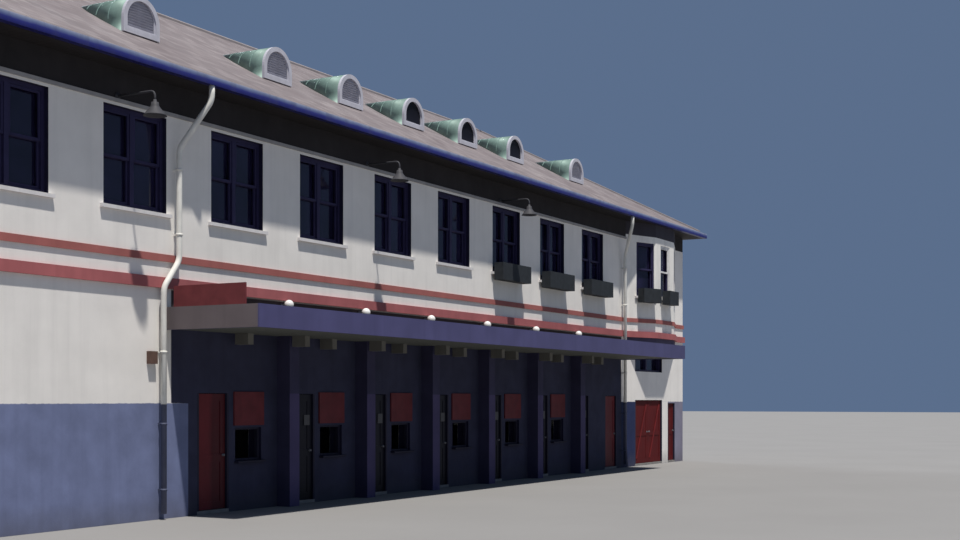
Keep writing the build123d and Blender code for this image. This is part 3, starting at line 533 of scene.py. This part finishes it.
# Mesh helpers
class Piece:
    """A mesh that grows by boxes and turned or swept forms, then becomes one object."""

    def __init__(self, name, material, slot, body="building"):
        self.name, self.material, self.slot, self.body = name, material, slot, body
        self.bm = bmesh.new()

    def box(self, x0, x1, y0, y1, z0, z1, place=None, bevel=0.0):
        """A box between two corners, chamfered by bevel and then moved to its place."""
        made = bmesh.ops.create_cube(self.bm, size=1.0)["verts"]
        size = Matrix.Diagonal((x1 - x0, y1 - y0, z1 - z0, 1.0))
        shift = Matrix.Translation(((x0 + x1) / 2, (y0 + y1) / 2, (z0 + z1) / 2))
        bmesh.ops.transform(self.bm, matrix=shift @ size, verts=made)
        if bevel:
            edges = list({e for v in made for e in v.link_edges})
            out = bmesh.ops.bevel(self.bm, geom=edges, offset=bevel, segments=1, affect="EDGES")
            made = list({v for f in out["faces"] for v in f.verts} | {v for v in made if v.is_valid})
        if place is not None:
            bmesh.ops.transform(self.bm, matrix=place, verts=made)
        return self

    def skin(self, rings, smooth=True, closed=True):
        """Joins matching rings of points, capped at both ends when closed."""
        made = [[self.bm.verts.new(p) for p in ring] for ring in rings]
        count = len(made[0])
        for a, b in zip(made, made[1:]):
            for k in range(count):
                j = (k + 1) % count
                face = self.bm.faces.new((a[k], a[j], b[j], b[k]))
                face.smooth = smooth
        if closed:
            self.bm.faces.new(list(reversed(made[0])))
            self.bm.faces.new(made[-1])
        return self

    def lathe(self, profile, place, sides=24):
        """Turns a profile of (radius, height) points about the local z axis."""
        turns = [2 * math.pi * k / sides for k in range(sides)]
        rings = [[Vector((r * math.cos(t), r * math.sin(t), h)) for t in turns] for r, h in profile]
        return self.skin([[place @ point for point in ring] for ring in rings])

    def tube(self, points, radius, bend, sides=16):
        """A round tube through points, its corners rounded off over the length bend."""
        path = [points[0]]
        for before, corner, after in zip(points, points[1:], points[2:]):
            start = corner + (before - corner).normalized() * bend
            end = corner + (after - corner).normalized() * bend
            for k in range(7):
                t = k / 6
                path.append(start * (1 - t) ** 2 + corner * 2 * t * (1 - t) + end * t**2)
        path.append(points[-1])
        ahead = [(b - a).normalized() for a, b in zip(path, path[1:])]
        ahead.append(ahead[-1])
        side = ahead[0].orthogonal().normalized()
        rings = []
        for k, point in enumerate(path):
            tangent = (ahead[k] + ahead[max(0, k - 1)]).normalized()
            side = (side - tangent * side.dot(tangent)).normalized()
            other = tangent.cross(side)
            turns = [2 * math.pi * n / sides for n in range(sides)]
            rings.append([point + (side * math.cos(t) + other * math.sin(t)) * radius for t in turns])
        return self.skin(rings)

    def done(self, *replaces):
        """Makes the object, on its body, in place of the solids that it replaces."""
        bmesh.ops.recalc_face_normals(self.bm, faces=self.bm.faces)
        mesh = bpy.data.meshes.new(self.name)
        self.bm.to_mesh(mesh)
        self.bm.free()
        mesh.materials.append(self.material)
        obj = bpy.data.objects.new(self.name, mesh)
        bpy.context.scene.collection.objects.link(obj)
        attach(obj, self.body)
        if replaces:
            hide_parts(*replaces)
        return obj


def at(x, y, z, turn=0.0):
    """A place turned about the vertical."""
    return Matrix.Translation((x, y, z)) @ Matrix.Rotation(turn, 4, "Z")


def outward(x, y, z):
    """Local z pointing out of the street front."""
    return Matrix.Translation((x, y, z)) @ Matrix.Rotation(math.pi / 2, 4, "X")


STILE, RAIL, SASH_DEPTH, SASH_LAP = 0.045, 0.05, 0.032, 0.02
LOWER_SASH, UPPER_SASH = 0.045, 0.012


def sashes(piece, place, width, height, recess, lights=2):
    """An upper and a lower sash in each light of a window frame."""
    light = (width - 2 * FRAME_FACE - (lights - 1) * MULLION) / lights
    half = height / 2
    for number in range(lights):
        left = FRAME_FACE - width / 2 + number * (light + MULLION)
        right = left + light
        inner = (left + STILE, right - STILE)
        for low, high, depth in (
            (FRAME_FACE, half + SASH_LAP, LOWER_SASH),
            (half - SASH_LAP, height - FRAME_FACE, UPPER_SASH),
        ):
            y0, y1 = recess + depth, recess + depth + SASH_DEPTH
            piece.box(left, left + STILE, y0, y1, low, high, place, 0.004)
            piece.box(right - STILE, right, y0, y1, low, high, place, 0.004)
            piece.box(*inner, y0, y1, low, low + RAIL, place, 0.004)
            piece.box(*inner, y0, y1, high - STILE, high, place, 0.004)


upper = HEAD - SILL
front_sashes = Piece("front_sashes", M["frame"], "window_violet")
for x in FRONT_WINDOWS:
    sashes(front_sashes, at(x, FRONT, SILL), WINDOW, upper, WINDOW_RECESS)
front_sashes.done()
plain_sashes = Piece("back_and_end_sashes", M["frame"], "window_violet")
for level, height in ((SILL, upper), (GROUND_SILL, GROUND_HEAD - GROUND_SILL)):
    for x in REAR_WINDOWS:
        sashes(plain_sashes, at(x, BACK, level, math.pi), WINDOW, height, WINDOW_RECESS)
    for y in END_WINDOWS:
        sashes(plain_sashes, at(HALF, y, level, math.pi / 2), WINDOW, height, WINDOW_RECESS)
        sashes(plain_sashes, at(-HALF, y, level, -math.pi / 2), WINDOW, height, WINDOW_RECESS)
plain_sashes.done()
bay_sashes = Piece("bay_sashes", M["frame"], "window_violet")
side_middle, side_width, front_width = 0.88, 0.80, 0.76
bay_places = [
    (at(*BAY[0], SILL, -BAY_TURN) @ Matrix.Translation((side_middle, 0, 0)), side_width),
    (at(*BAY[1], SILL) @ Matrix.Translation((BAY_FRONT / 2, 0, 0)), front_width),
    (at(*BAY[2], SILL, BAY_TURN) @ Matrix.Translation((BAY_SIDE - side_middle, 0, 0)), side_width),
]
for place, width in bay_places:
    sashes(bay_sashes, place, width, upper, BAY_RECESS, 1)
bay_sashes.done()

# Soil in the window boxes: how far it reaches in front of the wall and above the sill
BED_FRONT, BED_BACK, BED_FOOT, BED_TOP, BED_INSET = -0.283, -0.087, -0.17, 0.10, 0.028
soil = Piece("planter_soil", M["soil"], "planter")
beds = [(at(x, FRONT, SILL), BOX_WIDTH) for x in FRONT_WINDOWS[-BOXED_WINDOWS:]]
beds += bay_places[:BOXED_BAY_WINDOWS]
for place, width in beds:
    half = width / 2 - BED_INSET
    soil.box(-half, half, BED_FRONT, BED_BACK, BED_FOOT, BED_TOP, place, 0.02)
soil.done()


# Dormers: smooth barrels and rims in place of the faceted solids, with louvres, or a near-black sheet of
# painted shade in the open ones
def arch_points(width, straight, foot=0.0, count=24):
    """Points of an arched outline, from the left foot over the crown to the right foot."""
    r = width / 2
    turns = [math.pi * k / count for k in range(count + 1)]
    crown = [(-r * math.cos(t), foot + straight + r * math.sin(t)) for t in turns]
    return [(-r, foot)] + crown + [(r, foot)]


def dormer_place(x, side):
    """The foot of a dormer's face, on the front slope (side 1) or the back one (side -1)."""
    seat = EDGE_TOP + (DORMER_SETBACK + EAVE) * SLOPE
    if side > 0:
        return at(x, FRONT + DORMER_SETBACK, seat)
    return at(x, BACK - DORMER_SETBACK, seat, math.pi)


def ringed(piece, place, big, small, front, back):
    """A flat ring between two outlines, with its outer and inner rims."""
    edges = [
        [place @ Vector((px, y, pz)) for px, pz in points]
        for points, y in ((big, front), (big, back), (small, back), (small, front), (big, front))
    ]
    piece.skin(edges, smooth=False, closed=False)


BEAD = 0.03
SLATS, SLAT_FOOT, SLAT_PITCH = 9, 0.15, 0.048
SLAT_HALF_DEPTH, SLAT_HALF_THICKNESS, SLAT_TILT = 0.013, 0.004, math.radians(-62)
SEAMS, SEAM_PITCH, SEAM_WIDTH = 3, 0.30, 0.02

barrels = Piece("dormer_barrels", M["green"], "dormer_green")
rims = Piece("dormer_arches", M["rim"], "dormer_white")
beads = Piece("dormer_inner_beads", M["rim"], "dormer_white")
slats = Piece("dormer_louvres", M["slat"], "dormer_white")
seams = Piece("dormer_seams", M["green"], "dormer_green")
panels = Piece("dormer_panels", M["panel"], "dormer_white")
painted_shade_sheets = Piece("dormer_open_faces_painted_shade", M["door_dark"], "door_dark")
straight = DORMER_WALL - DORMER_RIM
outer = arch_points(DORMER_WIDTH, DORMER_WALL)
hole = arch_points(DORMER_WIDTH - 2 * DORMER_RIM, straight, DORMER_RIM)
bead = arch_points(DORMER_WIDTH - 2 * (DORMER_RIM + BEAD), straight, DORMER_RIM + BEAD)
slat_reach = DORMER_WIDTH / 2 - DORMER_RIM - BEAD - 0.005
slat_spring = DORMER_WALL + BEAD


def scaled(points, factor):
    """Points moved away from the middle of the arch."""
    return [(px * factor, DORMER_WALL + (pz - DORMER_WALL) * factor) for px, pz in points]


for side in (1, -1):
    for number, x in enumerate(DORMERS):
        place = dormer_place(x, side)
        front = [place @ Vector((px, 0.0, pz)) for px, pz in outer]
        back = [place @ Vector((px, pz / SLOPE, pz)) for px, pz in outer]
        barrels.skin([front, back])
        ringed(rims, place, outer, hole, -RIM_THICKNESS, 0.0)
        ringed(beads, place, hole, bead, -0.035, -0.003)
        # painted shade: a near-black sheet stands for the shaded inside of an open dormer
        filling = painted_shade_sheets if number in OPEN_DORMERS else panels
        faces = [[place @ Vector((px, y, pz)) for px, pz in hole] for y in (-0.012, -0.002)]
        filling.skin(faces, smooth=False)
        if number not in OPEN_DORMERS:
            for k in range(SLATS):
                z = SLAT_FOOT + k * SLAT_PITCH
                reach = slat_reach
                if z >= slat_spring:
                    reach = math.sqrt(max(0.01, slat_reach**2 - (z - slat_spring) ** 2))
                tilt = Matrix.Translation((0, -0.022, z)) @ Matrix.Rotation(SLAT_TILT, 4, "X")
                depth, thickness = SLAT_HALF_DEPTH, SLAT_HALF_THICKNESS
                slats.box(-reach, reach, -depth, depth, -thickness, thickness, place @ tilt)
        for k in range(1, SEAMS + 1):
            near = k * SEAM_PITCH
            far = near + SEAM_WIDTH
            kept = [(px, pz) for px, pz in outer if pz >= near * SLOPE]
            inner, proud = scaled(kept, 0.995), scaled(kept, 1.012)
            ribs = [
                [place @ Vector((px, y, pz)) for px, pz in points]
                for points, y in ((inner, near), (proud, near), (proud, far), (inner, far))
            ]
            seams.skin(list(zip(*ribs)), smooth=False)
barrels.done("dormer_bodies")
rims.done("dormer_rims")
for piece in (beads, slats, seams, panels, painted_shade_sheets):
    piece.done()

# Globe lamps above the canopy
globes = Piece("globe_lamps", M["lamp"], "lamp_white")
arms = Piece("globe_lamp_arms", M["steel"], "hinge_steel")
steps = [math.radians(t) for t in range(-84, 85, 12)]
GLOBE = [(LAMP_RADIUS * math.cos(t), LAMP_RADIUS * math.sin(t)) for t in steps]
LAMP_ARM = [
    (0.045, 0.0),
    (0.045, 0.012),
    (0.016, 0.014),
    (0.016, 0.075),
    (0.035, 0.078),
    (0.035, 0.092),
]
for x in POSTS:
    globes.lathe(GLOBE, at(x, FRONT - LAMP_REACH, LAMP_LEVEL), 32)
    arms.lathe(LAMP_ARM, outward(x, FRONT, LAMP_LEVEL))
globes.done("wall_lamps")
arms.done()

# Floodlights on their arms under the eave
flood_shades = Piece("floodlight_shades", M["flood"], "floodlight")
flood_arms = Piece("floodlight_arms", M["flood"], "floodlight")
flood_bulbs = Piece("floodlight_bulbs", M["lamp"], "lamp_white")
SHADE = [
    (0.024, 0.26),
    (0.030, 0.225),
    (0.058, 0.215),
    (0.066, 0.16),
    (0.092, 0.12),
    (0.135, 0.07),
    (0.172, 0.02),
    (0.190, 0.0),
    (0.184, 0.0),
    (0.164, 0.02),
    (0.126, 0.07),
    (0.082, 0.12),
    (0.030, 0.15),
]
FLOOD_FLANGE = [(0.06, 0.0), (0.06, 0.010), (0.024, 0.016), (0.018, 0.03)]
BULB = [(0.045 * math.cos(t), 0.09 + 0.05 * math.sin(t)) for t in steps]
for x in FLOODS:
    y = FRONT - FLOOD_REACH
    path = [
        Vector((x, FRONT, FLOOD_LEVEL)),
        Vector((x, y, FLOOD_LEVEL)),
        Vector((x, y, FLOOD_FOOT + 0.22)),
    ]
    flood_arms.tube(path, 0.018, 0.10)
    flood_arms.lathe(FLOOD_FLANGE, outward(x, FRONT, FLOOD_LEVEL))
    flood_shades.lathe(SHADE, at(x, y, FLOOD_FOOT), 32)
    flood_bulbs.lathe(BULB, at(x, y, FLOOD_FOOT), 20)
flood_shades.done("floodlights")
flood_arms.done()
flood_bulbs.done()

# Downspouts with rounded elbows, their straps and collars
spouts = Piece("round_downspouts", M["downspout"], "downspout")
straps = Piece("downspout_straps", M["downspout"], "downspout")
eave_y, wall_y = FRONT - EAVE - 0.06, FRONT - PIPE_STANDOFF
outlet, foot = SOFFIT - 0.25, 0.10
slant_foot = outlet - 0.83
jogged_x = PIPE_JOG - PIPE_X
left_top, right_top = jogged_x + 0.32, PIPE_X - 0.50
left_run = [
    (left_top, eave_y, SOFFIT),
    (left_top, eave_y, outlet),
    (jogged_x, wall_y, slant_foot),
    (jogged_x, wall_y, UPPER_BAND_BOTTOM + 0.03),
    (-PIPE_X, wall_y, LOWER_BAND_BOTTOM),
    (-PIPE_X, wall_y, foot),
]
right_run = [
    (right_top, eave_y, SOFFIT),
    (right_top, eave_y, outlet),
    (PIPE_X, wall_y, slant_foot),
    (PIPE_X, wall_y, foot),
]
for run in (left_run, right_run):
    spouts.tube([Vector(point) for point in run], PIPE_RADIUS, 0.11, 20)
COLLAR = [(PIPE_RADIUS + over, h) for over, h in ((0, -0.02), (0.007, -0.02), (0.007, 0.02), (0, 0.02))]
held = [(side * PIPE_X, z) for side in (-1, 1) for z in (0.5, 1.6, 2.8)]
held += [(x, z) for x in (jogged_x, PIPE_X) for z in (4.8, 5.9)]
for x, z in held:
    straps.lathe(COLLAR, at(x, wall_y, z))
    straps.box(x - 0.012, x + 0.012, FRONT - PIPE_STANDOFF + PIPE_RADIUS, FRONT, z - 0.015, z + 0.015)
spouts.done("downspouts")
straps.done()

# Small plates on the dark doors, and a knob near the free edge of every leaf
KNOB_INSET, GATE_KNOB_INSET, KNOB_LEVEL = 0.06, 0.08, 1.02
PLATE_WIDTH, PLATE_FOOT, PLATE_TOP = 0.18, 1.51, 1.71
leaf_face = FRONT + LEAF_RECESS
for number, post in enumerate(POSTS, start=1):
    plate = Piece(f"door_plate_{number}", M["plate"], "dormer_white", f"entry_door_{number}")
    right = post + DOOR_OFFSET + DOOR_WIDTH - JAMB - CLEARANCE - KNOB_INSET
    depth = (leaf_face - 0.006, leaf_face + 0.002)
    plate.box(right - PLATE_WIDTH, right, *depth, PLATE_FOOT, PLATE_TOP, None, 0.003)
    plate.done()
doors = [
    (f"entry_door_{number}", post + DOOR_OFFSET, DOOR_WIDTH) for number, post in enumerate(POSTS, start=1)
]
doors += [
    ("left_door", LEFT_DOOR_X, DOOR_WIDTH),
    ("right_door", RIGHT_DOOR_X, DOOR_WIDTH),
    ("side_door", SIDE_DOOR_X, SIDE_DOOR_WIDTH),
]
handles = [(body, left + width - JAMB - CLEARANCE - KNOB_INSET) for body, left, width in doors]
handles += [
    ("gate_left_leaf", GATE_LEFT + GATE_LEAF - GATE_KNOB_INSET),
    ("gate_right_leaf", GATE_RIGHT + GATE_KNOB_INSET),
]
KNOB = [
    (0.028, 0.0),
    (0.028, 0.004),
    (0.011, 0.006),
    (0.011, 0.020),
    (0.024, 0.026),
    (0.024, 0.034),
    (0.010, 0.038),
]
for body, x in handles:
    knob = Piece(f"{body}_knob", M["steel"], "hinge_steel", body)
    knob.lathe(KNOB, outward(x, leaf_face, KNOB_LEVEL), 20)
    knob.done()

# Diagonal braces on the gate
run, rise = GATE_LEAF - 0.26, GATE_HEAD - 0.36
brace_half, brace_half_width, brace_level = math.hypot(run, rise) / 2, 0.035, 1.03
lean = Matrix.Rotation(-math.atan2(rise, run), 4, "Y")
for body, left in (("gate_left_leaf", GATE_LEFT), ("gate_right_leaf", GATE_RIGHT)):
    brace = Piece(f"{body}_brace", M["brace"], "door_red", body)
    middle = Matrix.Translation((left + GATE_LEAF / 2, leaf_face - 0.005, brace_level)) @ lean
    brace.box(-brace_half, brace_half, -0.008, 0.007, -brace_half_width, brace_half_width, middle, 0.003)
    brace.done()

# Ticket window surrounds and ledges
trim = Piece("ticket_window_trim", M["jamb"], "jamb")
strip, ledge_half = 0.04, TICKET_HALF + 0.025
edge = TICKET_HALF - strip
for x in TICKETS:
    for x0, x1, z0, z1 in (
        (-TICKET_HALF, -edge, TICKET_SILL, TICKET_HEAD),
        (edge, TICKET_HALF, TICKET_SILL, TICKET_HEAD),
        (-edge, edge, TICKET_HEAD - strip, TICKET_HEAD),
        (-edge, edge, TICKET_SILL, TICKET_SILL + strip),
    ):
        trim.box(x + x0, x + x1, FRONT + 0.05, FRONT + 0.13, z0, z1, None, 0.004)
    ledge = (x - ledge_half, x + ledge_half, FRONT - 0.10, FRONT, TICKET_SILL - strip, TICKET_SILL)
    trim.box(*ledge, None, 0.006)
trim.done()

# Floor, and light: a blue sky, a high sun on the street side and a soft one on the back
bpy.ops.mesh.primitive_plane_add(size=400.0, location=(0, 0, -0.002))
floor = bpy.context.object
floor.name = "floor"
ground = Shader("floor_pale", 0.9)
ground.color(ground.ramp(ground.noise(0.3), (0.3, (0.245, 0.24, 0.235)), (0.7, (0.26, 0.255, 0.25))))
floor.data.materials.append(ground.mat)

world = bpy.data.worlds.new("studio")
bpy.context.scene.world = world
world.use_nodes = True
sky = world.node_tree.nodes["Background"]
sky.inputs["Color"].default_value = (0.40, 0.60, 1.0, 1.0)
sky.inputs["Strength"].default_value = 0.26


def sun(name, energy, direction, angle, color):
    """A sun lamp that shines along a direction."""
    lamp = bpy.data.objects.new(name, bpy.data.lights.new(name, "SUN"))
    lamp.data.energy = energy
    lamp.data.angle = math.radians(angle)
    lamp.data.color = color
    lamp.rotation_euler = Vector(direction).to_track_quat("-Z", "Y").to_euler()
    bpy.context.scene.collection.objects.link(lamp)


sun("key", 4.7, (0.60, 1.0, -3.35), 1.5, (1.0, 0.96, 0.90))
sun("fill", 0.8, (-0.5, -1.0, -0.6), 20.0, (0.85, 0.92, 1.0))

# The photo's view: level, 29 degrees off the street front, shifted up
camera = bpy.data.objects.new("camera", bpy.data.cameras.new("camera"))
camera.data.sensor_width = 36.0
camera.data.lens = 50.4
camera.data.shift_y = 130.0 / 960.0
camera.data.clip_end = 500.0
camera.location = (-26.94, FRONT - 15.62, 2.0)
bearing = math.radians(29)
aim = Vector((math.cos(bearing), math.sin(bearing), 0.0))
camera.rotation_euler = aim.to_track_quat("-Z", "Y").to_euler()
bpy.context.scene.collection.objects.link(camera)
bpy.context.scene.camera = camera
bpy.context.scene.view_settings.view_transform = "Standard"
